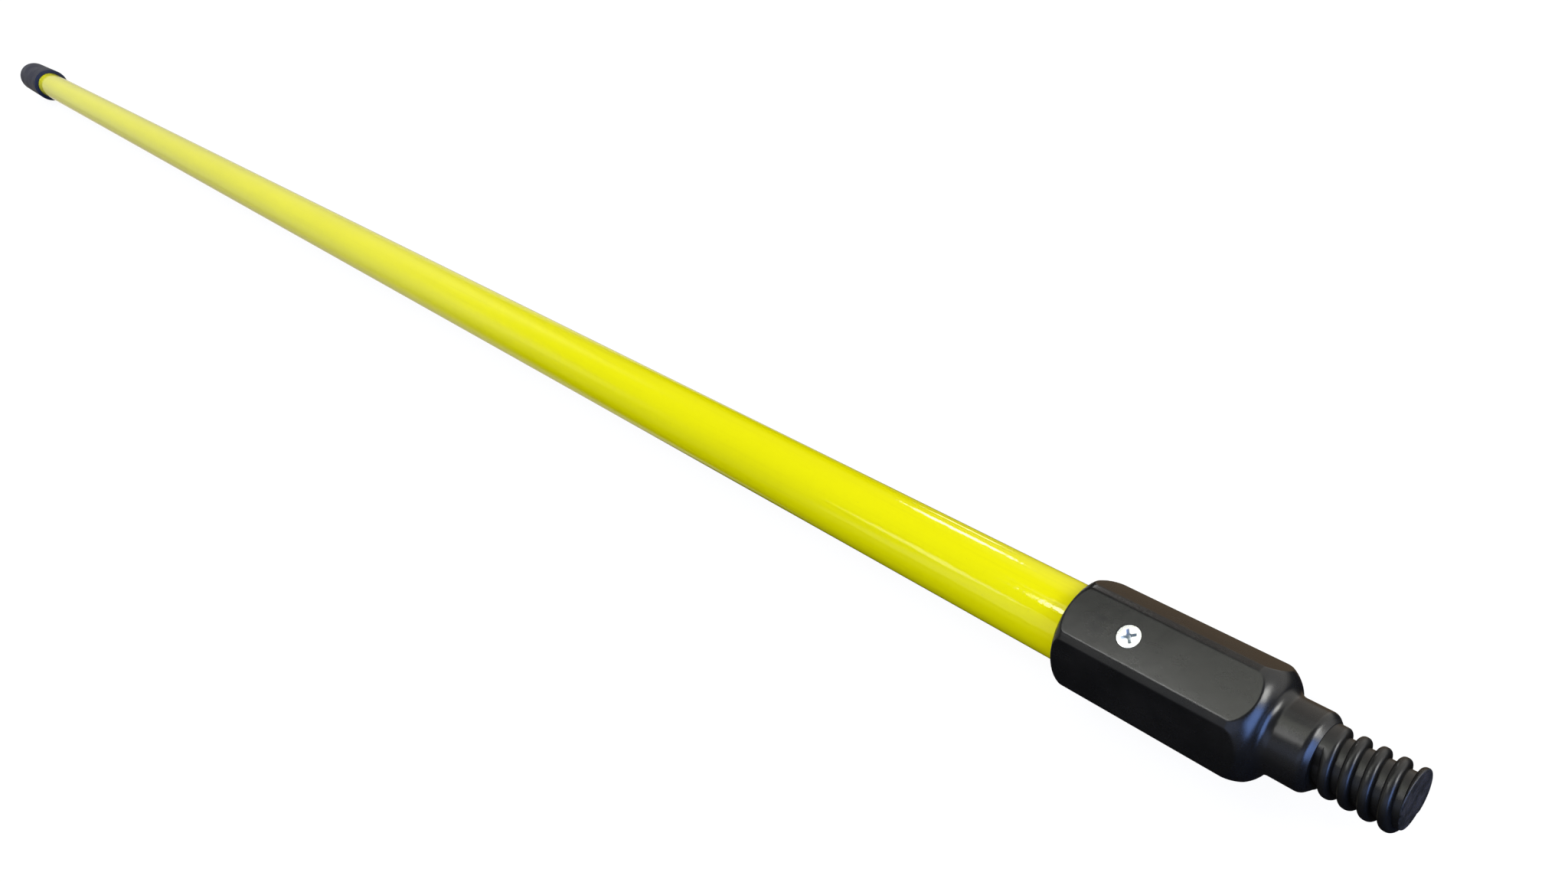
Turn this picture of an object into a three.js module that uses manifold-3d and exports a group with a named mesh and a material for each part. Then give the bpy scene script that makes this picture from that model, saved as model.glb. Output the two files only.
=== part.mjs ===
// Roller extension pole: a fibreglass tube with a threaded hexagonal tip and a push-on end cap.
// Millimetres, +Z up. The pole lies level along X with its threaded tip at +X. The origin is
// under the middle of the pole, on the surface that it lies on.
import * as THREE from 'three';
import { mergeVertices } from 'three/addons/utils/BufferGeometryUtils.js';
import Module from 'manifold-3d';

const wasm = await Module();
wasm.setup();

// Clearance between pieces that touch on the real pole, and the overshoot of a cutting tool.
const GAP = 0.3;
const OVERSHOOT = 1;
const MERGE_TOLERANCE = 1e-4;

// Facets round the tube, the tip and the cap, and round the screw.
const ROUND_SIDES = 48;
const SCREW_SIDES = 32;
const ARC_STEPS = 5;

// Tube: 60 in of 1 in fibreglass tube with a 1/8 in wall.
const TUBE_LENGTH = 1524;
const TUBE_OUTER_R = 12.7;
const TUBE_WALL = 3.2;

// Tip, one moulding: a hexagonal body with a socket for the tube, a round neck and a thread.
const TIP_LENGTH = 99.2;
const SOCKET_DEPTH = 56;
const HEX_APOTHEM = 16.4;
const HEX_CORNER_R = 18.1;
const MOUTH_R = 13.4;
const MOUTH_ROUNDING = 4.5;
const SHOULDER_BACK = 42.5;
const SHOULDER_FRONT = 35.6;
const SHOULDER_FOOT_R = 12.3;
const SHOULDER_SQUARENESS = 1.6;
const SHOULDER_FOOT_ANGLE = THREE.MathUtils.degToRad(13.6);
const NECK_FILLET_R = 3.4;
const NECK_FILLET_ANGLE = THREE.MathUtils.degToRad(60);
const NECK_BACK = 32.9;
const NECK_FRONT = 22.8;
const NECK_R = 11.55;
const NECK_CHAMFER = 1.75;

// Thread: 3/4-5 ACME, right-handed, with rounded crests. The groove has a flat root, steep
// flanks and flared lips, given as [half width, radius] from its root to clear of the crests.
const THREAD_R = 9.525;
const THREAD_PITCH = 5.08;
const THREAD_STEPS_PER_TURN = 36;
const GROOVE_SIDE = [[0.9, 7.35], [1.25, 8.7], [1.6, 9.22], [2.1, 9.5], [2.45, 10.4]];
const GROOVE_BACK = 22.35;
const GROOVE_FADE_TURNS = 0.12;
const GROOVE_FADE_RISE = 2.5;
const GROOVE_OVERRUN_TURNS = 0.6;

// Countersunk screw, square to the flat that faces up, and its cross recess.
const SCREW_FROM_MOUTH = 21.7;
const SCREW_SUNK = 0.1;
const SCREW_HEAD_R = 3.6;
const SCREW_RIM = 0.25;
const SCREW_SHANK_R = 1.75;
const SCREW_LENGTH = 15.5;
const SCREW_POINT = 2.5;
const RECESS_LENGTH = 4.4;
const RECESS_WIDTH = 0.8;
const RECESS_DEPTH = 1.3;

// Dowel that plugs the front end of the tube and takes the screw.
const DOWEL_LENGTH = 75;
const DOWEL_CHAMFER = 1;

// End cap: a tapered sleeve with a closed, rounded end.
const CAP_LENGTH = 84;
const CAP_WALL = 4;
const CAP_MOUTH_R = HEX_APOTHEM;
const CAP_END_R = 15.5;
const CAP_END_ROUNDING = 3;
const CAP_LIP = 0.8;

// Where the pieces lie.
const OVERALL_LENGTH = TIP_LENGTH - SOCKET_DEPTH + GAP + TUBE_LENGTH + GAP + CAP_WALL;
const TIP_X = OVERALL_LENGTH / 2;
const TUBE_FRONT_X = TIP_X - TIP_LENGTH + SOCKET_DEPTH - GAP;
const SCREW_X = TIP_X - TIP_LENGTH + SCREW_FROM_MOUTH;
const AXIS_Z = HEX_APOTHEM;

function toSolid(geometry) {
  const bare = geometry.clone();
  bare.deleteAttribute('normal');
  bare.deleteAttribute('uv');
  const merged = mergeVertices(bare, MERGE_TOLERANCE);
  const vertProperties = new Float32Array(merged.attributes.position.array);
  const triVerts = new Uint32Array(merged.index.array);
  return new wasm.Manifold(new wasm.Mesh({ numProp: 3, vertProperties, triVerts }));
}

function toGeometry(solid) {
  const mesh = solid.getMesh();
  const geometry = new THREE.BufferGeometry();
  geometry.setAttribute('position', new THREE.BufferAttribute(mesh.vertProperties, 3));
  geometry.setIndex(new THREE.BufferAttribute(mesh.triVerts, 1));
  geometry.computeVertexNormals();
  return geometry;
}

// Turns an outline of [x, radius] points about the X axis. It starts and ends on the axis and
// runs towards +X.
function turned(outline) {
  const points = outline.map(([x, radius]) => new THREE.Vector2(radius, x));
  return new THREE.LatheGeometry(points, ROUND_SIDES).rotateZ(-Math.PI / 2);
}

function rod(fromX, toX, radius) {
  return turned([[fromX, 0], [fromX, radius], [toX, radius], [toX, 0]]);
}

// Turns an outline of [radius, z] points about the Z axis. It starts and ends on the axis and
// runs upwards.
function upright(outline) {
  const points = outline.map(([radius, z]) => new THREE.Vector2(radius, z));
  return new THREE.LatheGeometry(points, SCREW_SIDES).rotateX(Math.PI / 2);
}

// Points of an elliptical arc, as [x, radius]. A squareness under 2 flattens it to a bevel.
function arc(centre, semiAxes, fromAngle, toAngle, squareness = 2) {
  const bend = (value) => Math.sign(value) * Math.abs(value) ** (2 / squareness);
  const points = [];
  for (let i = 0; i <= ARC_STEPS; i += 1) {
    const angle = fromAngle + ((toAngle - fromAngle) * i) / ARC_STEPS;
    const x = centre[0] + semiAxes[0] * bend(Math.cos(angle));
    const radius = centre[1] + semiAxes[1] * bend(Math.sin(angle));
    points.push([x, radius]);
  }
  return points;
}

// The tip's round blank behind the thread: rounded mouth, straight body, rounded shoulder, the
// fillet at the back of the neck, then the neck and its chamfer.
function tipBlank() {
  const mouthCentre = [-TIP_LENGTH + MOUTH_ROUNDING, MOUTH_R];
  const shoulderCentre = [-SHOULDER_BACK, SHOULDER_FOOT_R];
  const shoulderAxes = [SHOULDER_BACK - SHOULDER_FRONT, HEX_CORNER_R - SHOULDER_FOOT_R];
  const filletCentre = [-NECK_BACK, NECK_R + NECK_FILLET_R];
  const filletStart = -Math.PI / 2 - NECK_FILLET_ANGLE;
  return turned([
    [-TIP_LENGTH, 0],
    ...arc(mouthCentre, [MOUTH_ROUNDING, HEX_CORNER_R - MOUTH_R], Math.PI, Math.PI / 2),
    ...arc(shoulderCentre, shoulderAxes, Math.PI / 2, SHOULDER_FOOT_ANGLE, SHOULDER_SQUARENESS),
    ...arc(filletCentre, [NECK_FILLET_R, NECK_FILLET_R], filletStart, -Math.PI / 2),
    [-NECK_FRONT - NECK_CHAMFER, NECK_R],
    [-NECK_FRONT, NECK_R - NECK_CHAMFER],
    [-NECK_FRONT, 0],
  ]);
}

// A hexagonal prism along X with one flat facing up.
function hexPrism(fromX, toX) {
  const cornerR = HEX_APOTHEM / Math.cos(Math.PI / 6);
  const corners = [];
  for (let i = 0; i < 6; i += 1) {
    const angle = Math.PI / 6 + (i * Math.PI) / 3;
    corners.push(new THREE.Vector2(cornerR * Math.cos(angle), cornerR * Math.sin(angle)));
  }
  const outline = new THREE.Shape(corners);
  const prism = new THREE.ExtrudeGeometry(outline, { depth: toX - fromX, bevelEnabled: false });
  return prism.rotateY(Math.PI / 2).translate(fromX, 0, 0);
}

// The thread's groove as a closed solid: its section swept along a right-handed helix, from
// its fading back end on the upper side to beyond the end of the tip.
function threadGroove() {
  const farSide = GROOVE_SIDE.map(([halfWidth, radius]) => [-halfWidth, radius]).reverse();
  const section = [...GROOVE_SIDE, ...farSide];
  const turns = GROOVE_BACK / THREAD_PITCH + GROOVE_OVERRUN_TURNS;
  const steps = Math.ceil(turns * THREAD_STEPS_PER_TURN);
  const positions = [];
  for (let i = 0; i <= steps; i += 1) {
    const turn = i / THREAD_STEPS_PER_TURN;
    const angle = Math.PI / 2 + turn * 2 * Math.PI;
    const centreX = -GROOVE_BACK + turn * THREAD_PITCH;
    const rise = Math.max(0, 1 - turn / GROOVE_FADE_TURNS) * GROOVE_FADE_RISE;
    for (const [offset, radius] of section) {
      const liftedR = radius + rise;
      positions.push(centreX + offset, liftedR * Math.cos(angle), liftedR * Math.sin(angle));
    }
  }
  const count = section.length;
  const indices = [];
  for (let i = 0; i < steps; i += 1) {
    for (let j = 0; j < count; j += 1) {
      const a = i * count + j;
      const b = i * count + ((j + 1) % count);
      indices.push(a, b, b + count, a, b + count, a + count);
    }
  }
  const outline = section.map(([offset, radius]) => new THREE.Vector2(offset, radius));
  for (const [a, b, c] of THREE.ShapeUtils.triangulateShape(outline, [])) {
    indices.push(a, c, b);
    indices.push(steps * count + a, steps * count + b, steps * count + c);
  }
  const groove = new THREE.BufferGeometry();
  groove.setAttribute('position', new THREE.Float32BufferAttribute(positions, 3));
  groove.setIndex(indices);
  return groove;
}

// The hole that a screw's head and shank pass, upright, with its mouth at z = top.
function screwHole(top, depth) {
  const shankR = SCREW_SHANK_R + GAP;
  const headR = SCREW_HEAD_R + GAP;
  const coneFoot = top - SCREW_SUNK - SCREW_RIM - (headR - shankR);
  return upright([
    [0, top - depth],
    [shankR, top - depth],
    [shankR, coneFoot],
    [headR, top - SCREW_SUNK - SCREW_RIM],
    [headR, top + OVERSHOOT],
    [0, top + OVERSHOOT],
  ]);
}

function threadedTip() {
  const thread = toSolid(rod(-NECK_FRONT - OVERSHOOT, 0, THREAD_R)).subtract(toSolid(threadGroove()));
  const body = toSolid(tipBlank()).intersect(toSolid(hexPrism(-TIP_LENGTH - OVERSHOOT, OVERSHOOT)));
  const socket = toSolid(rod(-TIP_LENGTH - OVERSHOOT, -TIP_LENGTH + SOCKET_DEPTH, TUBE_OUTER_R + GAP));
  const holeDepth = HEX_APOTHEM - TUBE_OUTER_R + OVERSHOOT;
  const hole = toSolid(screwHole(HEX_APOTHEM, holeDepth).translate(SCREW_X - TIP_X, 0, 0));
  return toGeometry(body.add(thread).subtract(socket).subtract(hole));
}

function poleTube() {
  const innerR = TUBE_OUTER_R - TUBE_WALL;
  const wall = toSolid(rod(-TUBE_LENGTH, 0, TUBE_OUTER_R));
  const bore = toSolid(rod(-TUBE_LENGTH - OVERSHOOT, OVERSHOOT, innerR));
  const hole = toSolid(screwHole(HEX_APOTHEM, HEX_APOTHEM).translate(SCREW_X - TUBE_FRONT_X, 0, 0));
  return toGeometry(wall.subtract(bore).subtract(hole));
}

function reinforcingDowel() {
  const radius = TUBE_OUTER_R - TUBE_WALL - GAP;
  const blank = toSolid(turned([
    [-DOWEL_LENGTH, 0],
    [-DOWEL_LENGTH, radius - DOWEL_CHAMFER],
    [-DOWEL_LENGTH + DOWEL_CHAMFER, radius],
    [-DOWEL_CHAMFER, radius],
    [0, radius - DOWEL_CHAMFER],
    [0, 0],
  ]));
  const holeDepth = SCREW_SUNK + SCREW_LENGTH + GAP;
  const hole = toSolid(screwHole(HEX_APOTHEM, holeDepth).translate(SCREW_X - TUBE_FRONT_X, 0, 0));
  return toGeometry(blank.subtract(hole));
}

// The screw, upright, with the top of its head at z = 0.
function screw() {
  const coneFoot = -SCREW_RIM - (SCREW_HEAD_R - SCREW_SHANK_R);
  let solid = toSolid(upright([
    [0, -SCREW_LENGTH],
    [SCREW_SHANK_R, -SCREW_LENGTH + SCREW_POINT],
    [SCREW_SHANK_R, coneFoot],
    [SCREW_HEAD_R, -SCREW_RIM],
    [SCREW_HEAD_R, 0],
    [0, 0],
  ]));
  for (const turn of [Math.PI / 4, -Math.PI / 4]) {
    const slot = new THREE.BoxGeometry(RECESS_LENGTH, RECESS_WIDTH, 2 * RECESS_DEPTH).rotateZ(turn);
    solid = solid.subtract(toSolid(slot));
  }
  return toGeometry(solid);
}

// The cap, with the outside of its closed end at x = 0 and its mouth towards +X.
function endCap() {
  const outside = toSolid(turned([
    [0, 0],
    ...arc([CAP_END_ROUNDING, CAP_END_R - CAP_END_ROUNDING], [CAP_END_ROUNDING, CAP_END_ROUNDING],
      Math.PI, Math.PI / 2),
    [CAP_LENGTH - CAP_LIP, CAP_MOUTH_R],
    [CAP_LENGTH, CAP_MOUTH_R - CAP_LIP],
    [CAP_LENGTH, 0],
  ]));
  const bore = toSolid(rod(CAP_WALL, CAP_LENGTH + OVERSHOOT, TUBE_OUTER_R + GAP));
  return toGeometry(outside.subtract(bore));
}

const MATERIALS = {
  yellow_fibreglass: new THREE.MeshStandardMaterial({ color: 0xdfe010, roughness: 0.18, metalness: 0 }),
  black_nylon: new THREE.MeshStandardMaterial({ color: 0x25262a, roughness: 0.42, metalness: 0 }),
  bright_zinc: new THREE.MeshStandardMaterial({ color: 0xe4e6e8, roughness: 0.3, metalness: 1 }),
  hardwood: new THREE.MeshStandardMaterial({ color: 0xc9a877, roughness: 0.7, metalness: 0 }),
  black_rubber: new THREE.MeshStandardMaterial({ color: 0x2b2d33, roughness: 0.55, metalness: 0 }),
};

function place(name, geometry, material, x, z) {
  const mesh = new THREE.Mesh(geometry, MATERIALS[material]);
  mesh.name = name;
  mesh.position.set(x, 0, z);
  return mesh;
}

const pole = new THREE.Group();
pole.add(place('pole_tube', poleTube(), 'yellow_fibreglass', TUBE_FRONT_X, AXIS_Z));
pole.add(place('threaded_tip', threadedTip(), 'black_nylon', TIP_X, AXIS_Z));
pole.add(place('tip_screw', screw(), 'bright_zinc', SCREW_X, AXIS_Z + HEX_APOTHEM - SCREW_SUNK));
pole.add(place('reinforcing_dowel', reinforcingDowel(), 'hardwood', TUBE_FRONT_X, AXIS_Z));
pole.add(place('end_cap', endCap(), 'black_rubber', -TIP_X, AXIS_Z));

export default pole;
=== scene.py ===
"""Looks of the roller extension pole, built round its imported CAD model.

The pole lies along X with its thread towards +X. Lengths below are in millimetres and are
turned into metres where a mesh, light or camera is made.
"""

import math
from collections import namedtuple

import bmesh
import bpy
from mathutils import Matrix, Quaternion, Vector


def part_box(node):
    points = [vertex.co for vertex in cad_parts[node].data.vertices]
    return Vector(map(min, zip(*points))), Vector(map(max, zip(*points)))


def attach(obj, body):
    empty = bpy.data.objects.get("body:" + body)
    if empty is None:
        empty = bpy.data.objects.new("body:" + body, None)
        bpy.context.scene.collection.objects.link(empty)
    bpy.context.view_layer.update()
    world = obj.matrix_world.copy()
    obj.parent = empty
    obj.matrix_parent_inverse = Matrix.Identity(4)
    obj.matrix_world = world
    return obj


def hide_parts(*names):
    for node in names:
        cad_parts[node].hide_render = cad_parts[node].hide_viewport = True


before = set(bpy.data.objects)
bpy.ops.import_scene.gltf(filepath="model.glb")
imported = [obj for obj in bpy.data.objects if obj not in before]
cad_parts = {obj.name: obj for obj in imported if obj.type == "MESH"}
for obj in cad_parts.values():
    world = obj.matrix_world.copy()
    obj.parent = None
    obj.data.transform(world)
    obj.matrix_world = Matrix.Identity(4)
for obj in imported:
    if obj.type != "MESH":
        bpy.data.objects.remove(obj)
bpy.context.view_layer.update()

MM = 0.001
BODY = "root"

# Places taken from the CAD model.
TUBE_LOW, TUBE_HIGH = (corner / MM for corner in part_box("pole_tube"))
TIP_LOW, TIP_HIGH = (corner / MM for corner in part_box("threaded_tip"))
CAP_LOW, CAP_HIGH = (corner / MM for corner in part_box("end_cap"))
SCREW_LOW, SCREW_HIGH = (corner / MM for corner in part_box("tip_screw"))
DOWEL_LOW, DOWEL_HIGH = (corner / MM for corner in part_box("reinforcing_dowel"))
AXIS_Z = (TUBE_LOW.z + TUBE_HIGH.z) / 2
TIP_X = TIP_HIGH.x
SCREW_X = (SCREW_LOW.x + SCREW_HIGH.x) / 2

# Tube, and the clearance round it in the tip and the cap.
TUBE_R = (TUBE_HIGH.y - TUBE_LOW.y) / 2
TUBE_WALL = 3.2
TUBE_SIDES = 128
TUBE_EDGE = 0.3
TUBE_STATION = 24.0
FIT = 0.08

# Tip: hexagonal body with a socket, round neck and thread. Distances run back from its end.
TIP_LENGTH = TIP_X - TIP_LOW.x
SOCKET_DEPTH = 56.0
HEX_APOTHEM = 16.4
HEX_CORNER_R = 18.1
HEX_EDGE_SOFTNESS = 0.15
FLAT_CROWN = 0.14
HALF_FLAT_TURN = 25.0
MOUTH_R = 13.1
MOUTH_ROUNDING = 4.5
SHOULDER_BACK = 42.5
SHOULDER_FRONT = 35.6
SHOULDER_FOOT_R = 12.3
SHOULDER_SQUARENESS = 1.6
SHOULDER_FOOT_ANGLE = 13.6
NECK_FILLET_R = 3.4
NECK_FILLET_ANGLE = 60.0
NECK_BACK = 32.9
NECK_FRONT = 22.8
NECK_R = 11.55
NECK_CHAMFER = 1.75
NECK_EDGE = 1.05
BODY_STATION = 3.0

# Angles in degrees of the tip's columns, from the middle of a flat to the corner at 30. They
# are closest where the flat meets its rounded corner.
HALF_FLAT_ANGLES = [0, 3, 6, 9, 12, 15, 17.5, 19.5, 21, 22.2, 23.2, 24, 24.7,
                    25.4, 26.1, 26.9, 27.9, 29]
FLATS = 6
FIRST_FLAT_ANGLE = 30.0

# Thread: 3/4-5 ACME, right-handed, with rounded crests.
THREAD_R = 9.525
THREAD_ROOT_R = 7.35
THREAD_PITCH = 5.08
CREST_HALF_WIDTH = 1.6
CREST_ROUNDNESS = 2.5
ROOT_SOFTNESS = 0.3
GROOVE_BACK = 22.35
GROOVE_START_ANGLE = 90.0
GROOVE_FADE_TURNS = 0.12
END_EDGE = 0.4
CREST_STATIONS = [0, 0.3, 0.6, 0.85, 1.05, 1.22, 1.36, 1.45, 1.51, 1.56, 1.6, 1.75, 2.1]

# Screw.
SCREW_LENGTH = SCREW_HIGH.z - SCREW_LOW.z
SCREW_TOP_Z = SCREW_HIGH.z
SCREW_HEAD_R = 3.6
SCREW_RIM = 0.25
SCREW_SHANK_R = 1.75
SCREW_POINT = 2.5
SCREW_SIDES = 96
SCREW_EDGE = 0.12
SCREW_RIM_EDGE = 0.1
HOLE_CLEARANCE = 0.12
RECESS_TOP = (2.45, 0.46)
RECESS_FOOT = (1.0, 0.34)
RECESS_DEPTH = 1.5
RECESS_HUB_R = 1.0
RECESS_HUB_DEPTH = RECESS_DEPTH * 1.25
RECESS_OVERSHOOT = 0.2
RECESS_TURNS = (40.5, -49.5)
RECESS_SHADE = 0.3
OVERSHOOT = 1.0

# Cap.
CAP_WALL = 4.0
CAP_MOUTH_R = 16.4
CAP_END_R = 15.5
CAP_END_ROUNDING = 3.0
CAP_LIP = 0.8
CAP_BORE_ROUNDING = 1.0
CAP_SIDES = 128

# Dowel.
DOWEL_R = (DOWEL_HIGH.y - DOWEL_LOW.y) / 2
DOWEL_CHAMFER = 1.0

ARC_STEPS = 10
EDGE_STEPS = 5
SHOULDER_STEPS = 26
MOUTH_STEPS = 16
HIDDEN_EDGE = 0.3
SHARP_ANGLE = math.radians(38)
MERGE_DISTANCE = 1e-6


# ---------------------------------------------------------------- mesh building

def mesh_object(name, points, faces):
    """A closed mesh from points in millimetres."""
    shape = bmesh.new()
    corners = [shape.verts.new(Vector(point) * MM) for point in points]
    for face in faces:
        shape.faces.new([corners[index] for index in face])
    bmesh.ops.remove_doubles(shape, verts=shape.verts, dist=MERGE_DISTANCE)
    bmesh.ops.dissolve_degenerate(shape, edges=shape.edges, dist=MERGE_DISTANCE)
    bmesh.ops.recalc_face_normals(shape, faces=shape.faces)
    mesh = bpy.data.meshes.new(name)
    shape.to_mesh(mesh)
    shape.free()
    piece = bpy.data.objects.new(name, mesh)
    bpy.context.scene.collection.objects.link(piece)
    return piece


def soften(piece):
    """Smooth shading, with real corners kept sharp."""
    piece.data.shade_smooth()
    piece.data.set_sharp_from_angle(angle=SHARP_ANGLE)


def cut(piece, cutter):
    """Subtracts the cutter from the piece and removes the cutter."""
    modifier = piece.modifiers.new("cut", "BOOLEAN")
    modifier.operation = "DIFFERENCE"
    modifier.solver = "EXACT"
    modifier.object = cutter
    depsgraph = bpy.context.evaluated_depsgraph_get()
    cut_mesh = bpy.data.meshes.new_from_object(piece.evaluated_get(depsgraph))
    piece.modifiers.clear()
    cut_mesh.name = piece.name
    piece.data = cut_mesh
    bpy.data.objects.remove(cutter)


def arc(centre, semi_axes, start, end, steps=ARC_STEPS, squareness=2.0):
    """Points of an elliptical arc in degrees. A squareness under 2 flattens it to a bevel."""
    points = []
    for i in range(steps + 1):
        angle = math.radians(start + (end - start) * i / steps)
        bent = [math.copysign(abs(v) ** (2 / squareness), v)
                for v in (math.cos(angle), math.sin(angle))]
        points.append((centre[0] + semi_axes[0] * bent[0], centre[1] + semi_axes[1] * bent[1]))
    return points


def rounded(corners, steps=6):
    """An outline whose corners, given as (along, radius, rounding), are eased by that much."""
    outline = []
    for i, (x, y, rounding) in enumerate(corners):
        if rounding == 0:
            outline.append((x, y))
            continue
        here = Vector((x, y))
        before = Vector(corners[i - 1][:2]) - here
        after = Vector(corners[(i + 1) % len(corners)][:2]) - here
        start = here + before.normalized() * rounding
        end = here + after.normalized() * rounding
        for k in range(steps + 1):
            t = k / steps
            outline.append(tuple(start * (1 - t) ** 2 + here * 2 * t * (1 - t) + end * t ** 2))
    return outline


def ring_faces(ring_count, sides, looped=False):
    """Quads between successive rings of the same number of points."""
    faces = []
    for i in range(ring_count if looped else ring_count - 1):
        a, b = i * sides, (i + 1) % ring_count * sides
        for j in range(sides):
            k = (j + 1) % sides
            faces.append((a + j, a + k, b + k, b + j))
    return faces


def turned(name, outline, sides, along_x=True, looped=False):
    """Turns an outline of (along, radius) about the pole's axis, or about the screw's."""
    points = []
    for along, radius in outline:
        for j in range(sides):
            angle = 2 * math.pi * j / sides
            across, up = radius * math.cos(angle), radius * math.sin(angle)
            if along_x:
                points.append((along, across, AXIS_Z + up))
            else:
                points.append((SCREW_X + across, up, along))
    return mesh_object(name, points, ring_faces(len(outline), sides, looped))


# ---------------------------------------------------------------- tube, dowel and cap

def make_tube():
    inner_r = TUBE_R - TUBE_WALL
    back, front = TUBE_LOW.x, TUBE_HIGH.x
    count = round((front - back) / TUBE_STATION)
    eased = (TUBE_EDGE, TUBE_EDGE)
    outline = arc((back + TUBE_EDGE, TUBE_R - TUBE_EDGE), eased, 180, 90, EDGE_STEPS)
    outline += [(back + (front - back) * i / count, TUBE_R) for i in range(1, count)]
    outline += arc((front - TUBE_EDGE, TUBE_R - TUBE_EDGE), eased, 90, 0, EDGE_STEPS)
    outline += [(front, inner_r), (back, inner_r)]
    tube = turned("fibreglass_tube", outline, TUBE_SIDES, looped=True)
    cut(tube, screw_hole())
    return tube


def make_dowel():
    back, front = DOWEL_LOW.x, DOWEL_HIGH.x
    dowel = turned("hardwood_dowel", rounded([
        (back, 0, 0),
        (back, DOWEL_R - DOWEL_CHAMFER, HIDDEN_EDGE),
        (back + DOWEL_CHAMFER, DOWEL_R, HIDDEN_EDGE),
        (front - DOWEL_CHAMFER, DOWEL_R, HIDDEN_EDGE),
        (front, DOWEL_R - DOWEL_CHAMFER, HIDDEN_EDGE),
        (front, 0, 0),
    ]), TUBE_SIDES)
    cut(dowel, screw_hole())
    return dowel


def make_cap():
    back, mouth = CAP_LOW.x, CAP_HIGH.x
    bore_r = TUBE_R + FIT
    outline = [(back, 0), (back, CAP_END_R / 2)]
    outline += arc((back + CAP_END_ROUNDING, CAP_END_R - CAP_END_ROUNDING),
                   (CAP_END_ROUNDING, CAP_END_ROUNDING), 180, 90)
    outline += [(back + CAP_END_ROUNDING + (mouth - back) * t,
                 CAP_END_R + (CAP_MOUTH_R - CAP_END_R) * t) for t in (0.2, 0.4, 0.6, 0.8)]
    outline += arc((mouth - CAP_LIP, CAP_MOUTH_R - CAP_LIP), (CAP_LIP, CAP_LIP), 90, 0)
    outline += rounded([(mouth, bore_r + 1, 0), (mouth, bore_r, HIDDEN_EDGE),
                        (back + CAP_WALL, bore_r, CAP_BORE_ROUNDING),
                        (back + CAP_WALL, 0, 0)])
    return turned("push_on_cap", outline, CAP_SIDES)


# ---------------------------------------------------------------- threaded tip

def smooth_min(a, b, softness):
    overlap = max(softness - abs(a - b), 0) / softness
    return min(a, b) - overlap * overlap * softness / 4


def tip_angles():
    """Angles of the tip's columns in degrees, from +Y towards +Z, once round."""
    flat_turn = 360 / FLATS
    half = HALF_FLAT_ANGLES
    sector = [-angle for angle in reversed(half[1:])] + half + [flat_turn / 2]
    return [FIRST_FLAT_ANGLE + flat_turn * k + angle for k in range(FLATS) for angle in sector]


def hex_radius(angle):
    """Distance from the axis to the nearest flat, which bulges slightly, at an angle."""
    flat_turn = 360 / FLATS
    from_flat = (angle - FIRST_FLAT_ANGLE + flat_turn / 2) % flat_turn - flat_turn / 2
    crown = FLAT_CROWN * (from_flat / HALF_FLAT_TURN) ** 2
    return (HEX_APOTHEM - crown) / math.cos(math.radians(from_flat))


def tip_point(back, radius, angle):
    turn = math.radians(angle)
    return (TIP_X - back, radius * math.cos(turn), AXIS_Z + radius * math.sin(turn))


def groove_turn(angle, index):
    """Turns of the groove, from its start, to where it passes the angle for the index-th time."""
    return ((angle - GROOVE_START_ANGLE) / 360) % 1 + index


def thread_radius(back, angle):
    """Radius of the threaded part at a distance back from the end."""
    here = (GROOVE_BACK - back) / THREAD_PITCH
    index = round(here - groove_turn(angle, 0))
    turn = groove_turn(angle, index)
    if turn < 0:
        return THREAD_R
    from_crest = max(THREAD_PITCH * (0.5 - abs(here - turn)), 0)
    share = min(from_crest / CREST_HALF_WIDTH, 1) ** CREST_ROUNDNESS
    height = (THREAD_R - THREAD_ROOT_R) * (1 - share) ** (1 / CREST_ROUNDNESS)
    radius = THREAD_ROOT_R - smooth_min(-height, 0, ROOT_SOFTNESS)
    fade = max(0, 1 - turn / GROOVE_FADE_TURNS)
    return radius + (THREAD_R - radius) * fade * fade * (3 - 2 * fade)


def add_rings(points, faces, rings):
    """Appends rings of points and the quads between them."""
    offset = len(points)
    sides = len(rings[0])
    for ring in rings:
        points.extend(ring)
    faces.extend(tuple(offset + i for i in face) for face in ring_faces(len(rings), sides))


def add_thread(points, faces, angles):
    """Appends the threaded surface. Its rows follow the helix, and stop at both ends."""
    offset = len(points)
    half = [THREAD_PITCH / 2 - station for station in CREST_STATIONS]
    # Rows of one turn. The first falls on the last of the turn before, so it is left out.
    offsets = sorted([-v for v in half] + half + [0.0], reverse=True)[1:]
    per_turn = len(offsets)
    # Turns past both ends of the thread, so that every row starts and stops at an end.
    first, last = -2, math.ceil(GROOVE_BACK / THREAD_PITCH) + 1
    turns = [(index, shift) for index in range(first, last + 1) for shift in offsets]
    for index, shift in turns:
        for angle in angles:
            centre = GROOVE_BACK - THREAD_PITCH * groove_turn(angle, index)
            back = min(max(centre + shift, END_EDGE), NECK_FRONT)
            points.append(tip_point(back, thread_radius(back, angle), angle))
    sides = len(angles)
    starts_turn = min(range(sides), key=lambda j: groove_turn(angles[j], 0))
    for row in range(len(turns) - 1):
        for j in range(sides):
            k = (j + 1) % sides
            shift = per_turn if k == starts_turn else 0
            if row + 1 + shift >= len(turns):
                continue
            a, b = offset + row * sides, offset + (row + 1) * sides
            faces.append((a + j, a + shift * sides + k, b + shift * sides + k, b + j))


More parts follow.
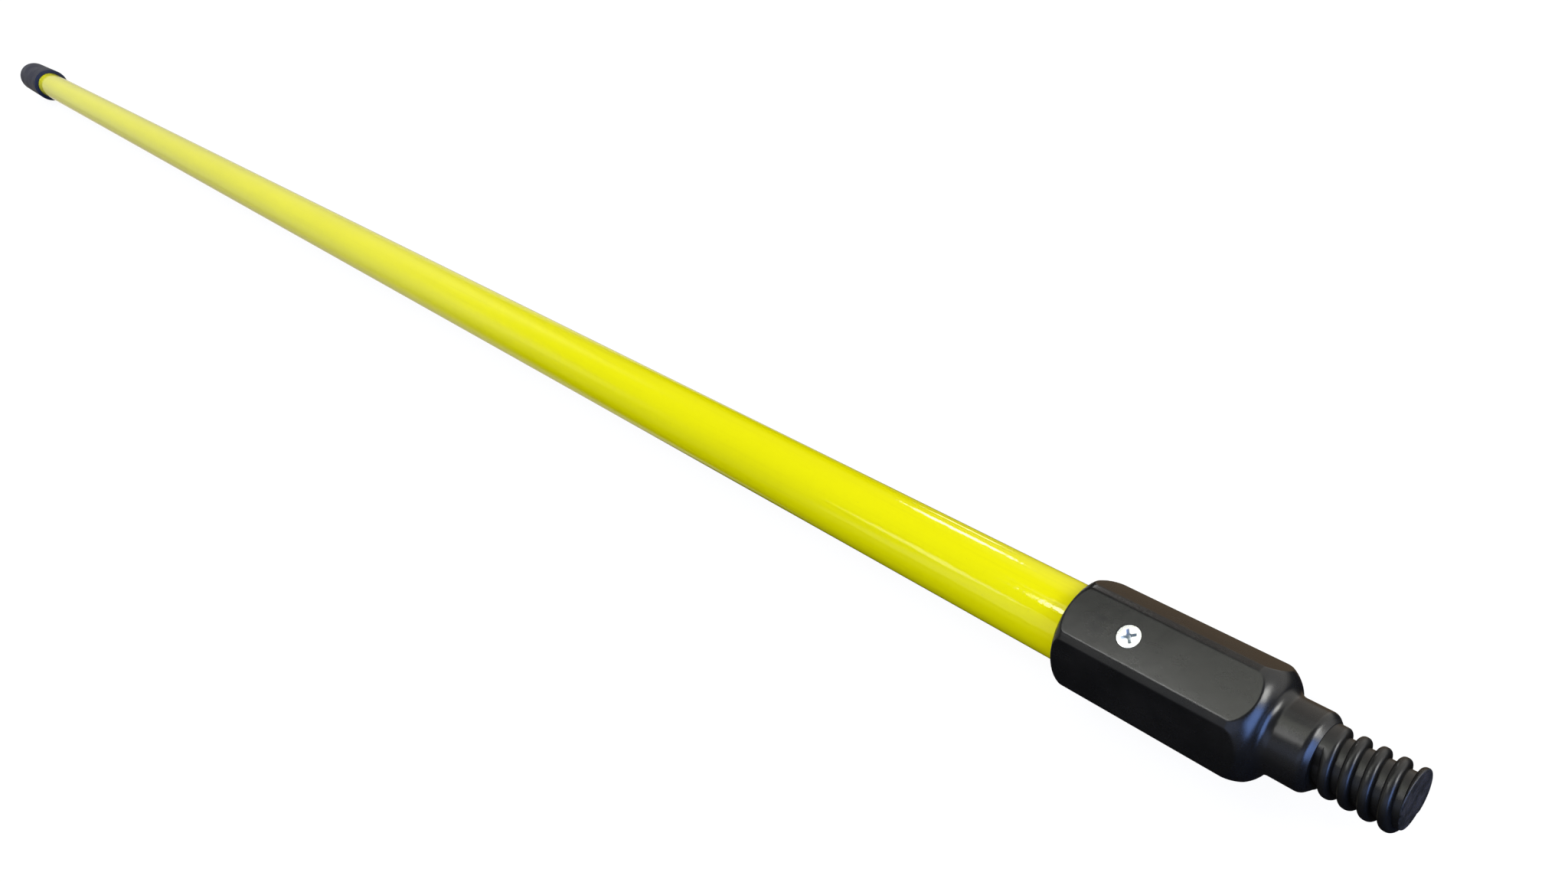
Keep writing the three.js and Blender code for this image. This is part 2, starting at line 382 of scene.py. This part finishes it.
def end_rings(angles):
    """The end of the thread: its eased edge and its flat face."""
    rings = []
    for back, inset in arc((END_EDGE, END_EDGE), (-END_EDGE, -END_EDGE), 90, 0, EDGE_STEPS):
        rings.append([tip_point(back, thread_radius(END_EDGE, a) - inset, a) for a in angles])
    for share in (0.75, 0.5, 0.25, 0):
        rings.append([tip_point(0, (thread_radius(END_EDGE, a) - END_EDGE) * share, a)
                      for a in angles])
    return rings


def body_outline():
    """(back, radius) from the front of the neck to the bottom of the socket."""
    chamfer_foot_r = NECK_R - NECK_CHAMFER
    edge_x, edge_r = NECK_FRONT + NECK_CHAMFER, NECK_R
    chamfer = rounded([
        (NECK_FRONT, chamfer_foot_r, 0),
        (edge_x, edge_r, NECK_EDGE),
        (NECK_BACK, NECK_R, 0),
    ])
    fillet = arc((NECK_BACK, NECK_R + NECK_FILLET_R), (NECK_FILLET_R, NECK_FILLET_R), 270,
                 270 + NECK_FILLET_ANGLE)
    axes = (SHOULDER_BACK - SHOULDER_FRONT, HEX_CORNER_R - SHOULDER_FOOT_R)
    shoulder = arc((SHOULDER_BACK, SHOULDER_FOOT_R), (-axes[0], axes[1]), SHOULDER_FOOT_ANGLE,
                   90, SHOULDER_STEPS, SHOULDER_SQUARENESS)
    straight_end = TIP_LENGTH - MOUTH_ROUNDING
    count = round((straight_end - SHOULDER_BACK) / BODY_STATION)
    straight = [(SHOULDER_BACK + (straight_end - SHOULDER_BACK) * i / count, HEX_CORNER_R)
                for i in range(1, count)]
    mouth = arc((straight_end, MOUTH_R), (MOUTH_ROUNDING, HEX_CORNER_R - MOUTH_R), 90, 0,
                MOUTH_STEPS)
    socket_r = TUBE_R + FIT
    bottom = TIP_LENGTH - SOCKET_DEPTH
    socket = [(TIP_LENGTH, socket_r), (bottom, socket_r), (bottom, 0)]
    return chamfer + fillet[1:] + shoulder[1:] + straight + mouth + socket


def make_tip():
    angles = tip_angles()
    points, faces = [], []
    add_rings(points, faces, list(reversed(end_rings(angles))))
    add_thread(points, faces, angles)
    neck_front = [tip_point(NECK_FRONT, thread_radius(NECK_FRONT, a), a) for a in angles]
    rings = [neck_front]
    for back, radius in body_outline():
        rings.append([tip_point(back, smooth_min(radius, hex_radius(a), HEX_EDGE_SOFTNESS), a)
                      for a in angles])
    add_rings(points, faces, rings)
    tip = mesh_object("hexagonal_threaded_tip", points, faces)
    cut(tip, screw_hole())
    return tip


# ---------------------------------------------------------------- screw

def screw_sizes(clearance):
    """Radius of the shank and of the head, both grown by the clearance, and the cone's foot."""
    cone_foot = SCREW_TOP_Z - SCREW_RIM - (SCREW_HEAD_R - SCREW_SHANK_R)
    return SCREW_SHANK_R + clearance, SCREW_HEAD_R + clearance, cone_foot


def screw_hole():
    """The clearance hole for the screw, as a solid to cut with."""
    shank_r, head_r, cone_foot = screw_sizes(HOLE_CLEARANCE)
    foot = SCREW_TOP_Z - SCREW_LENGTH - HOLE_CLEARANCE
    above = SCREW_TOP_Z + OVERSHOOT
    return turned("screw_hole", [
        (foot, 0),
        (foot, shank_r),
        (cone_foot, shank_r),
        (SCREW_TOP_Z - SCREW_RIM, head_r),
        (above, head_r),
        (above, 0),
    ], SCREW_SIDES, along_x=False)


def recess_wing(turn):
    """One bar of the cross recess: a box that narrows downwards."""
    points = []
    for height, (half_length, half_width) in (
        (SCREW_TOP_Z + RECESS_OVERSHOOT, RECESS_TOP),
        (SCREW_TOP_Z - RECESS_DEPTH, RECESS_FOOT),
    ):
        for u, v in ((-1, -1), (1, -1), (1, 1), (-1, 1)):
            x, y = u * half_length, v * half_width
            points.append((SCREW_X + x * math.cos(turn) - y * math.sin(turn),
                           x * math.sin(turn) + y * math.cos(turn), height))
    faces = [(3, 2, 1, 0), (4, 5, 6, 7)] + ring_faces(2, 4)
    return mesh_object("recess_wing", points, faces)


def recess_hub():
    """The cone where the bars of the recess meet."""
    return turned("recess_hub", [
        (SCREW_TOP_Z - RECESS_HUB_DEPTH, 0),
        (SCREW_TOP_Z - RECESS_DEPTH, RECESS_HUB_R / 2),
        (SCREW_TOP_Z + RECESS_OVERSHOOT, RECESS_HUB_R),
        (SCREW_TOP_Z + RECESS_OVERSHOOT, 0),
    ], SCREW_SIDES, along_x=False)


def make_screw():
    shank_r, head_r, cone_foot = screw_sizes(0)
    foot = SCREW_TOP_Z - SCREW_LENGTH
    screw = turned("countersunk_screw", rounded([
        (foot, 0, 0),
        (foot + SCREW_POINT, shank_r, HIDDEN_EDGE),
        (cone_foot, shank_r, HIDDEN_EDGE),
        (SCREW_TOP_Z - SCREW_RIM, head_r, SCREW_RIM_EDGE),
        (SCREW_TOP_Z, head_r, SCREW_EDGE),
        (SCREW_TOP_Z, head_r / 2, 0),
        (SCREW_TOP_Z, 0, 0),
    ]), SCREW_SIDES, along_x=False)
    for turn in RECESS_TURNS:
        cut(screw, recess_wing(math.radians(turn)))
    cut(screw, recess_hub())
    return screw


# ---------------------------------------------------------------- materials

class Graph:
    """A node tree under construction, with short calls for the nodes it needs."""

    def __init__(self, tree):
        self.tree = tree

    def add(self, kind, inputs=None, **settings):
        node = self.tree.nodes.new(kind)
        for key, value in settings.items():
            setattr(node, key, value)
        for key, value in (inputs or {}).items():
            self.feed(node.inputs[key], value)
        return node

    def feed(self, socket, value):
        if isinstance(value, bpy.types.NodeSocket):
            self.tree.links.new(value, socket)
        else:
            socket.default_value = value

    def ramp(self, value, low, high, to_low, to_high):
        """Maps low..high to to_low..to_high with soft ends."""
        return self.add("ShaderNodeMapRange", {
            "Value": value,
            "From Min": low,
            "From Max": high,
            "To Min": to_low,
            "To Max": to_high,
        }, interpolation_type="SMOOTHSTEP").outputs["Result"]

    def math(self, operation, a, b=0.0):
        return self.add("ShaderNodeMath", {0: a, 1: b}, operation=operation).outputs["Value"]

    def vector(self, operation, a, b):
        node = self.add("ShaderNodeVectorMath", {0: a, 1: b}, operation=operation)
        return node.outputs["Vector"]

    def mix(self, share, a, b):
        """Colour a where the share is 0, and b where it is 1."""
        node = self.add("ShaderNodeMix", data_type="RGBA")
        self.feed(node.inputs["Factor"], share)
        self.feed(node.inputs[6], a)
        self.feed(node.inputs[7], b)
        return node.outputs[2]


class Look(Graph):
    """A procedural material."""

    def __init__(self, name, **settings):
        self.material = bpy.data.materials.new(name)
        self.material.use_nodes = True
        super().__init__(self.material.node_tree)
        self.shader = self.tree.nodes["Principled BSDF"]
        self.place = self.add("ShaderNodeTexCoord").outputs["Object"]
        for socket, value in settings.items():
            self.shader.inputs[socket.replace("_", " ")].default_value = value

    def stretched(self, scale):
        """Object coordinates multiplied by a scale in each direction."""
        mapping = self.add("ShaderNodeMapping", {"Vector": self.place, "Scale": scale})
        return mapping.outputs["Vector"]

    def noise(self, scale, detail=3.0, roughness=0.5, vector=None):
        """Noise with a scale per metre, from 0 to 1."""
        return self.add("ShaderNodeTexNoise", {
            "Vector": vector or self.place,
            "Scale": scale,
            "Detail": detail,
            "Roughness": roughness,
        }).outputs["Fac"]

    def distance(self, point):
        """Distance in metres from a point given in millimetres."""
        offset = self.vector("SUBTRACT", self.place, tuple(Vector(point) * MM))
        return self.add("ShaderNodeVectorMath", {0: offset}, operation="LENGTH").outputs["Value"]

    def bump(self, height, distance, strength=1.0, under=None):
        """A bump of a height in metres, over another one where given."""
        inputs = {"Height": height, "Distance": distance, "Strength": strength}
        if under:
            inputs["Normal"] = under
        return self.add("ShaderNodeBump", inputs).outputs["Normal"]

    def set(self, **sockets):
        for socket, value in sockets.items():
            self.feed(self.shader.inputs[socket.replace("_", " ")], value)

    def paint(self, piece):
        piece.data.materials.clear()
        piece.data.materials.append(self.material)


def rgb(red, green, blue):
    return (red, green, blue, 1.0)


# Where the flat beside the screw was rubbed.
SMUDGE_CENTRE = (SCREW_X - 9.0, 1.0, AXIS_Z + HEX_APOTHEM)
SMUDGE_R = 7.0


def yellow_fibreglass():
    look = Look("yellow_fibreglass", Specular_IOR_Level=0.0, Coat_Weight=1.0,
                Coat_Roughness=0.04)
    patches = look.noise(5.0, detail=2.0, vector=look.stretched((1.0, 3.0, 3.0)))
    fibres = look.noise(60.0, detail=4.0, vector=look.stretched((0.25, 18.0, 18.0)))
    waves = look.noise(55.0, detail=2.0)
    ripples = look.noise(700.0, detail=2.0, vector=look.stretched((0.6, 1.0, 1.0)))
    specks = look.noise(900.0, detail=2.0)
    base = look.mix(look.ramp(patches, 0.35, 0.65, 0, 1),
                    rgb(0.700, 0.655, 0.0), rgb(0.735, 0.690, 0.0))
    tinted = look.mix(look.ramp(fibres, 0.5, 0.8, 0, 0.35), base, rgb(0.65, 0.60, 0.001))
    wavy = look.bump(waves, 0.00008)
    look.set(
        Base_Color=look.mix(look.ramp(specks, 0.70, 0.78, 0, 0.35), tinted,
                            rgb(0.50, 0.47, 0.01)),
        Roughness=look.ramp(fibres, 0.3, 0.8, 0.3, 0.5),
        Normal=look.bump(fibres, 0.00001, under=wavy),
        Coat_Normal=look.bump(ripples, 0.00003, under=wavy),
    )
    return look


def black_nylon():
    look = Look("black_nylon", Specular_IOR_Level=0.5)
    mottle = look.noise(70.0, detail=4.0)
    swirl = look.noise(260.0, detail=5.0, roughness=0.65,
                       vector=look.stretched((0.5, 1.0, 1.0)))
    grain = look.noise(4200.0, detail=2.0)
    scuffs = look.noise(420.0, detail=6.0, roughness=0.7,
                        vector=look.stretched((0.3, 1.4, 1.4)))
    along = look.add("ShaderNodeSeparateXYZ", {0: look.place}).outputs["X"]
    end_face = look.ramp(along, (TIP_X - END_EDGE) * MM, (TIP_X - END_EDGE / 2) * MM, 0, 1)
    threaded = look.ramp(along, (TIP_X - NECK_FRONT - 1) * MM, (TIP_X - NECK_FRONT) * MM, 0, 1)
    near_screw = look.ramp(look.distance(SMUDGE_CENTRE), 0, SMUDGE_R * MM, 1, 0)
    smudges = look.math("MULTIPLY", near_screw, look.ramp(swirl, 0.45, 0.60, 0, 1))
    edges = look.ramp(look.add("ShaderNodeNewGeometry").outputs["Pointiness"],
                      0.51, 0.58, 0, 1)
    colour = look.mix(look.ramp(mottle, 0.35, 0.7, 0, 1),
                      rgb(0.0050, 0.0050, 0.0048), rgb(0.0085, 0.0082, 0.0078))
    scuffed = look.mix(look.ramp(scuffs, 0.62, 0.80, 0, 0.08), colour,
                       rgb(0.020, 0.019, 0.018))
    worn = look.mix(look.math("MULTIPLY", edges, 0.12), scuffed, rgb(0.015, 0.015, 0.015))
    # Partly painted light: the thread's end face is mottled like a rough cut, and its colour is
    # also lifted well above the rest of the nylon to stand in for bounced light falling on it.
    cut_end_mottle_and_painted_bounce = look.mix(look.ramp(swirl, 0.35, 0.65, 0, 1), rgb(0.010, 0.010, 0.010),
                       rgb(0.030, 0.028, 0.030))
    roughness = look.math("ADD", look.ramp(swirl, 0.3, 0.75, 0.24, 0.29),
                          look.ramp(scuffs, 0.6, 0.8, 0, 0.01))
    roughened = look.math("MAXIMUM", look.math("MULTIPLY", end_face, 0.2),
                          look.math("MULTIPLY", threaded, 0.08))
    rubbed = look.math("MAXIMUM", roughened, look.math("MULTIPLY", smudges, 0.25))
    moulded = look.bump(mottle, 0.00016, under=look.bump(grain, 0.000008))
    look.set(
        Base_Color=look.mix(end_face, worn, cut_end_mottle_and_painted_bounce),
        Roughness=look.math("ADD", roughness, rubbed),
        Normal=look.bump(swirl, look.math("MULTIPLY", end_face, 0.0006), under=moulded),
    )
    return look


def bright_zinc():
    look = Look("bright_zinc", Metallic=1.0)
    from_screw = look.vector("SUBTRACT", look.place, (SCREW_X * MM, 0, SCREW_TOP_Z * MM))
    rings = look.add("ShaderNodeTexWave", {
        "Vector": from_screw,
        "Scale": 900.0,
        "Distortion": 1.5,
        "Detail": 2.0,
    }, wave_type="RINGS", rings_direction="Z").outputs["Fac"]
    clouds = look.noise(900.0, detail=4.0)
    height = look.add("ShaderNodeSeparateXYZ", {0: from_screw}).outputs["Z"]
    # Painted shade: below the head's edge the cross recess gets a darker, bluish zinc colour that
    # stands in for the shade and dim reflection inside it. The same mask also makes the recess
    # rougher.
    recess_and_painted_shade = look.ramp(height, -RECESS_SHADE * MM, -SCREW_EDGE * MM, 1, 0)
    plated = look.mix(look.ramp(clouds, 0.4, 0.7, 0, 1), rgb(0.90, 0.91, 0.92),
                      rgb(0.80, 0.82, 0.84))
    look.set(
        Base_Color=look.mix(recess_and_painted_shade, plated, rgb(0.62, 0.68, 0.72)),
        Roughness=look.math("ADD", look.ramp(clouds, 0.3, 0.7, 0.20, 0.34),
                            look.math("MULTIPLY", recess_and_painted_shade, 0.2)),
        Normal=look.bump(rings, 0.000003),
    )
    return look


def hardwood():
    look = Look("hardwood", Specular_IOR_Level=0.35)
    grain = look.noise(40.0, detail=5.0, vector=look.stretched((0.6, 12.0, 12.0)))
    pores = look.noise(300.0, detail=3.0, vector=look.stretched((0.3, 8.0, 8.0)))
    colour = look.mix(look.ramp(grain, 0.3, 0.7, 0, 1), rgb(0.62, 0.46, 0.27),
                      rgb(0.46, 0.31, 0.16))
    look.set(
        Base_Color=look.mix(look.ramp(pores, 0.62, 0.75, 0, 0.7), colour,
                            rgb(0.25, 0.15, 0.07)),
        Roughness=look.ramp(grain, 0.3, 0.7, 0.6, 0.8),
        Normal=look.bump(pores, 0.00008),
    )
    return look


def black_rubber():
    look = Look("black_rubber", Specular_IOR_Level=0.2)
    mottle = look.noise(60.0, detail=4.0)
    grain = look.noise(3000.0, detail=2.0)
    look.set(
        Base_Color=look.mix(look.ramp(mottle, 0.35, 0.7, 0, 1),
                            rgb(0.010, 0.012, 0.026), rgb(0.016, 0.017, 0.032)),
        Roughness=look.ramp(mottle, 0.3, 0.7, 0.42, 0.56),
        Normal=look.bump(mottle, 0.0002, under=look.bump(grain, 0.00001)),
    )
    return look


# ---------------------------------------------------------------- stage

FLOOR_HALF = 20.0
FLOOR_COLOUR = (0.10, 0.10, 0.10, 1.0)
FLOOR_GLOW = 0.92

# Soft panels of the studio, seen only as reflections: the way they lie as azimuth from +X and
# elevation, half their width and height, the width of their soft edge, colour and strength.
# Angles are in degrees.
Panel = namedtuple("Panel", "name centre half edge colour strength")
PANELS = [
    Panel("ceiling", (128, 70), (26, 10), 6, (0.98, 1.00, 0.88), 1.9),
    Panel("skylight", (172, 68), (12, 4.5), 5, (0.98, 1.00, 0.90), 3.2),
    Panel("window", (-6, 18), (16, 11), 7, (0.24, 0.42, 1.00), 8.0),
    Panel("cool_wall", (-70, 44), (30, 10), 14, (0.50, 0.62, 1.00), 0.9),
    Panel("side_wall", (66, 6), (30, 26), 14, (1.00, 0.98, 0.92), 0.9),
    Panel("high_wall", (98, 48), (14, 8), 10, (1.00, 1.00, 0.94), 1.0),
    Panel("warm_wall", (110, 2), (10, 26), 10, (1.00, 0.88, 0.76), 0.4),
    Panel("near_wall", (-124, 34), (6, 14), 6, (1.00, 1.00, 0.92), 0.55),
    Panel("back_wall", (180, 14), (22, 10), 12, (1.00, 0.99, 0.94), 0.5),
    Panel("far_floor", (165, -22), (14, 14), 10, (1.00, 0.98, 0.88), 0.55),
    Panel("far_side_floor", (-168, -22), (12, 14), 10, (1.00, 0.92, 0.72), 0.5),
    Panel("warm_floor", (120, -44), (16, 12), 10, (1.00, 0.70, 0.42), 0.18),
    Panel("low_lamp", (124.1, 7), (1.8, 3.2), 1.5, (1.00, 1.00, 1.00), 9.0),
    Panel("low_glint", (126, -19), (1.6, 1.4), 1.0, (1.00, 1.00, 1.00), 3.0),
    Panel("middle_lamp", (-140.5, 43), (4, 1.6), 3.4, (1.00, 1.00, 0.95), 2.6),
    Panel("end_lamp", (-179, 65.5), (9, 3.5), 2.4, (1.00, 1.00, 1.00), 11.0),
    Panel("high_lamp", (-142, 71), (12, 5), 6, (1.00, 1.00, 0.98), 5.0),
    Panel("front_lamp", (33, 24), (10, 8), 6, (1.00, 1.00, 0.97), 11.0),
]
GROUND = (0.010, 0.009, 0.010, 1.0)
SKY = (0.11, 0.11, 0.11, 1.0)
HORIZON_SOFTNESS = 8.0
BACKGROUND = (1.0, 1.0, 1.0, 1.0)


def make_floor():
    half = FLOOR_HALF
    mesh = bpy.data.meshes.new("floor")
    mesh.from_pydata([(-half, -half, 0), (half, -half, 0), (half, half, 0), (-half, half, 0)],
                     [], [(0, 1, 2, 3)])
    floor = bpy.data.objects.new("floor", mesh)
    bpy.context.scene.collection.objects.link(floor)
    material = bpy.data.materials.new("floor")
    material.use_nodes = True
    shader = material.node_tree.nodes["Principled BSDF"]
    shader.inputs["Base Color"].default_value = FLOOR_COLOUR
    shader.inputs["Roughness"].default_value = 1.0
    shader.inputs["Specular IOR Level"].default_value = 0.0
    shader.inputs["Emission Color"].default_value = BACKGROUND
    shader.inputs["Emission Strength"].default_value = FLOOR_GLOW
    mesh.materials.append(material)
    floor.visible_glossy = False
    floor.visible_diffuse = False


def degrees(graph, radians):
    return graph.math("MULTIPLY", radians, math.degrees(1))


def turn_between(graph, angle, middle):
    """The angle less the middle, in degrees, brought within half a turn either way."""
    node = graph.add("ShaderNodeMath", {0: angle, 1: middle + 180, 2: middle - 180},
                     operation="WRAP")
    return graph.math("SUBTRACT", node.outputs["Value"], middle)


def panel_mask(graph, panel, azimuth, elevation):
    """1 on the panel and 0 off it, with a soft edge."""
    masks = []
    for angle, middle, half in zip((azimuth, elevation), panel.centre, panel.half):
        off = graph.math("ABSOLUTE", turn_between(graph, angle, middle))
        masks.append(graph.ramp(off, half, half + panel.edge, 1, 0))
    return graph.math("MULTIPLY", *masks)


def make_surroundings():
    """Soft surroundings that the glossy surfaces reflect, and a plain background."""
    world = bpy.data.worlds.new("studio")
    bpy.context.scene.world = world
    world.use_nodes = True
    world.node_tree.nodes.clear()
    graph = Graph(world.node_tree)
    direction = graph.add("ShaderNodeTexCoord").outputs["Generated"]
    split = graph.add("ShaderNodeSeparateXYZ", {0: direction})
    azimuth = degrees(graph, graph.math("ARCTAN2", split.outputs["Y"], split.outputs["X"]))
    elevation = degrees(graph, graph.math("ARCSINE", split.outputs["Z"]))
    above = graph.ramp(elevation, -HORIZON_SOFTNESS, HORIZON_SOFTNESS, 0, 1)
    total = graph.mix(above, GROUND, SKY)
    for panel in PANELS:
        share = graph.math("MULTIPLY", panel_mask(graph, panel, azimuth, elevation),
                           panel.strength)
        glow = graph.add("ShaderNodeVectorMath", {0: panel.colour, "Scale": share},
                         operation="SCALE")
        total = graph.vector("ADD", total, glow.outputs["Vector"])
    around = graph.add("ShaderNodeBackground", {"Color": total})
    plain = graph.add("ShaderNodeBackground", {"Color": BACKGROUND})
    camera_ray = graph.add("ShaderNodeLightPath").outputs["Is Camera Ray"]
    chosen = graph.add("ShaderNodeMixShader", {
        "Fac": camera_ray,
        1: around.outputs["Background"],
        2: plain.outputs["Background"],
    })
    graph.add("ShaderNodeOutputWorld", {"Surface": chosen.outputs["Shader"]})


# Broad soft lights: name, the way towards each, strength, and angle across in degrees.
SUNS = [
    ("overhead", (0.2, -0.6, 2.0), 0.9, 120),
    ("side_fill", (0.1, -1.86, 0.74), 0.7, 70),
]


def make_lights():
    """Lights that shine on the object but aren't seen in reflections."""
    for name, towards, strength, across in SUNS:
        light = bpy.data.lights.new(name, "SUN")
        light.energy = strength
        light.angle = math.radians(across)
        lamp = bpy.data.objects.new(name, light)
        lamp.location = towards
        lamp.rotation_mode = "QUATERNION"
        lamp.rotation_quaternion = (-Vector(towards)).to_track_quat("-Z", "Y")
        lamp.visible_glossy = False
        bpy.context.scene.collection.objects.link(lamp)


# Where the camera is and where it looks, from the middle of the thread's end, in millimetres.
CAMERA_FROM_TIP = (70.3, -86.2, 321.8)
CAMERA_AIM_FROM_TIP = (-248.0, 10.9, 0.0)
CAMERA_ROLL = math.radians(-39.73)
CAMERA_LENS = 27.19
SENSOR_WIDTH = 36.0


def make_camera():
    tip = Vector((TIP_X, 0, AXIS_Z))
    place = (tip + Vector(CAMERA_FROM_TIP)) * MM
    aim = (tip + Vector(CAMERA_AIM_FROM_TIP)) * MM
    data = bpy.data.cameras.new("camera")
    data.lens = CAMERA_LENS
    data.sensor_width = SENSOR_WIDTH
    data.clip_start = 0.01
    data.clip_end = 100.0
    camera = bpy.data.objects.new("camera", data)
    camera.location = place
    camera.rotation_mode = "QUATERNION"
    level = (aim - place).to_track_quat("-Z", "Y")
    camera.rotation_quaternion = level @ Quaternion((0, 0, 1), CAMERA_ROLL)
    bpy.context.scene.collection.objects.link(camera)
    bpy.context.scene.camera = camera


# ---------------------------------------------------------------- assembly

PIECES = [
    (make_tube, "pole_tube", "yellow_fibreglass", yellow_fibreglass),
    (make_tip, "threaded_tip", "black_nylon", black_nylon),
    (make_screw, "tip_screw", "bright_zinc", bright_zinc),
    (make_dowel, "reinforcing_dowel", "hardwood", hardwood),
    (make_cap, "end_cap", "black_rubber", black_rubber),
]

for make, node, slot, make_look in PIECES:
    piece = make()
    soften(piece)
    make_look().paint(piece)
    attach(piece, BODY)
    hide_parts(node)

make_floor()
make_surroundings()
make_lights()
make_camera()
bpy.context.scene.view_settings.view_transform = "Standard"
